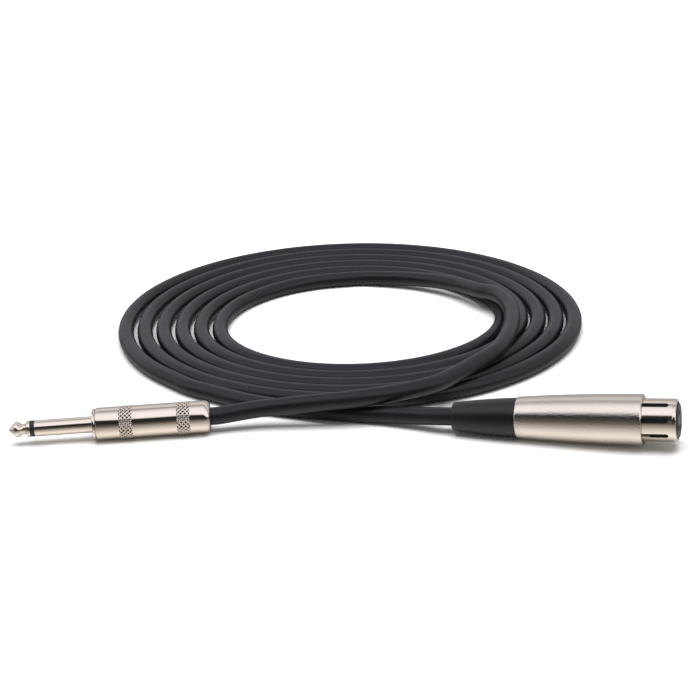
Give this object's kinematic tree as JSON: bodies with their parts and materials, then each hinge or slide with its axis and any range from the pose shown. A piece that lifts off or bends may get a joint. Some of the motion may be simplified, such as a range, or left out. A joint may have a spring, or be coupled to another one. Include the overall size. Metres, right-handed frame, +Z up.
{
  "type": "xlr cable coil",
  "caption": "Flat coil of round audio cable that joins a latching female microphone connector and a screwed phone plug.",
  "frame": {"origin": "on the floor, under the middle of the box round the two connectors", "axes": "+X from the phone plug towards the microphone connector, +Y towards the coil, +Z up from the floor"},
  "size_m": [0.2546, 0.2726, 0.02],
  "materials": {
    "nickel": "bright nickel plate on turned brass",
    "shell_nickel": "satin, fine-blasted nickel plate on die-cast zinc",
    "latch_metal": "satin",
    "steel": "plain",
    "dark_steel": "black oxide",
    "contact": "gold plated",
    "black_plastic": "moulded, satin",
    "fibre": "plain fibre board",
    "liner": "thin sheet, satin",
    "boot_rubber": "matte",
    "jacket": "matte",
    "red_core": "satin",
    "white_core": "satin",
    "copper": "bare twisted copper"
  },
  "bodies": {
    "cable": {"plug_tip": "nickel", "plug_tip_rod": "steel", "plug_insulator_ring": "black_plastic", "plug_bush": "black_plastic", "plug_sleeve": "nickel", "plug_sleeve_lug": "steel", "plug_washer": "fibre", "plug_tip_lug": "steel", "plug_jacket_end": "jacket", "plug_hot_core": "red_core", "plug_shield_wire": "copper", "xlr_shell": "shell_nickel", "xlr_nose": "nickel", "xlr_insert": "black_plastic", "xlr_contact_1": "contact", "xlr_contact_2": "contact", "xlr_contact_3": "contact", "xlr_ground_clip": "steel", "xlr_set_screw": "dark_steel", "xlr_latch_spring": "steel", "xlr_clamp": "black_plastic", "xlr_clamp_screws": "steel", "xlr_boot": "boot_rubber", "xlr_jacket_end": "jacket", "xlr_core_2": "red_core", "xlr_core_3": "white_core", "xlr_shield_wire": "copper", "cable_coil": "jacket", "plug_lead": "jacket", "xlr_lead": "jacket"},
    "liner": {"plug_liner": "liner"},
    "handle": {"plug_handle": "nickel"},
    "latch": {"xlr_latch": "latch_metal"}
  },
  "joints": [
    {"name": "handle_travel", "type": "slide", "parent": "cable", "child": "liner", "axis": [0.9997, 0.0262, 0], "range_m": [0, 0.006]},
    {"name": "handle_turn", "type": "hinge", "parent": "liner", "child": "handle", "pos_m": [-0.07115, 0.02092, 0.00647], "axis": [0.9997, 0.0262, 0], "range_deg": [0, 2161]},
    {"name": "latch_press", "type": "slide", "parent": "cable", "child": "latch", "axis": [-0.2686, -0.8697, -0.4141], "range_m": [0, 0.0012], "stiffness_N_per_m": 400, "springref_m": -0.002}
  ],
  "couplings": [
    {"joint": "handle_turn", "follows": "handle_travel", "rad_per_m": 6283.2}
  ]
}
